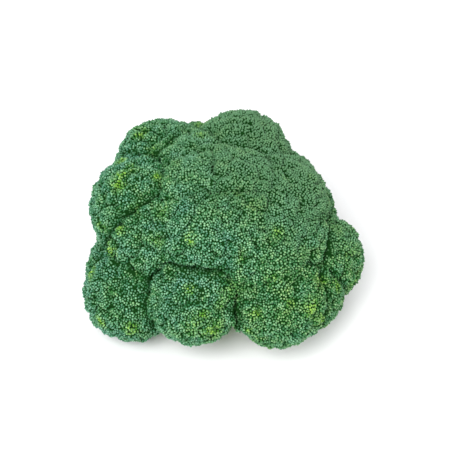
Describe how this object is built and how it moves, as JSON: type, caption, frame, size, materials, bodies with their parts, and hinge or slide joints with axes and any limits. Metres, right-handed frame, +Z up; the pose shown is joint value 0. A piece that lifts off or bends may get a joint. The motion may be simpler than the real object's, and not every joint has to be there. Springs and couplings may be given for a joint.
{
  "type": "broccoli head",
  "caption": "Head of broccoli cut with a short stalk: a forking stalk that carries a dense crown of rounded florets covered in buds, standing on its flat cut.",
  "frame": {"origin": "centre of the flat cut face of the stalk, on the surface that the head stands on", "axes": "+Z up, along the stalk from the cut to the crown; +Y away from the viewer of the front, +X to the viewer's right"},
  "size_m": [0.1792, 0.1687, 0.1198],
  "materials": {
    "stalk": "fresh pale green stalk, waxy, faintly ribbed, with a moist pale cut face",
    "buds": "closed flower buds, matt blue-green with a waxy bloom and yellow-green patches"
  },
  "bodies": {
    "root": {"stalk": "stalk", "floret_low_01": "buds", "floret_low_02": "buds", "floret_low_03": "buds", "floret_low_04": "buds", "floret_low_05": "buds", "floret_low_06": "buds", "floret_low_07": "buds", "floret_low_08": "buds", "floret_low_09": "buds", "floret_low_10": "buds", "floret_middle_01": "buds", "floret_middle_02": "buds", "floret_middle_03": "buds", "floret_middle_04": "buds", "floret_middle_05": "buds", "floret_middle_06": "buds", "floret_middle_07": "buds", "floret_middle_08": "buds", "floret_middle_09": "buds", "floret_middle_10": "buds", "floret_top_01": "buds", "floret_top_02": "buds", "floret_top_03": "buds", "floret_top_04": "buds", "floret_top_05": "buds"}
  },
  "joints": []
}
